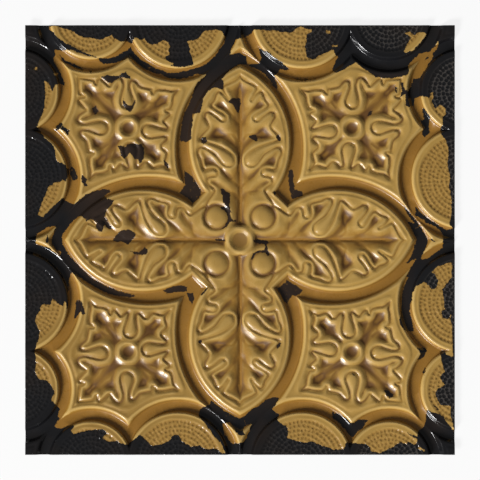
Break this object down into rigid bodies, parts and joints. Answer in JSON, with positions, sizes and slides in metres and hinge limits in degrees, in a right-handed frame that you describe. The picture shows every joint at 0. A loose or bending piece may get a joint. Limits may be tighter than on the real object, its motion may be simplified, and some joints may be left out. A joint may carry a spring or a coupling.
{
  "type": "pressed tin ceiling tile",
  "caption": "Square pressed sheet-metal ceiling tile with a quatrefoil of acanthus petals, leaf medallions and stippled edge lobes, in worn gold paint over black.",
  "frame": {"origin": "centre of the tile's plan, on the level plane that the undersides of its grooves rest on", "axes": "+Z out of the decorated face, +X and +Y along the edges"},
  "size_m": [0.61, 0.61, 0.0084],
  "materials": {
    "painted_tin": "worn semi-gloss gold paint, chipped to black along the edges and grooves"
  },
  "bodies": {
    "root": {"tile_sheet": "painted_tin"}
  },
  "joints": []
}
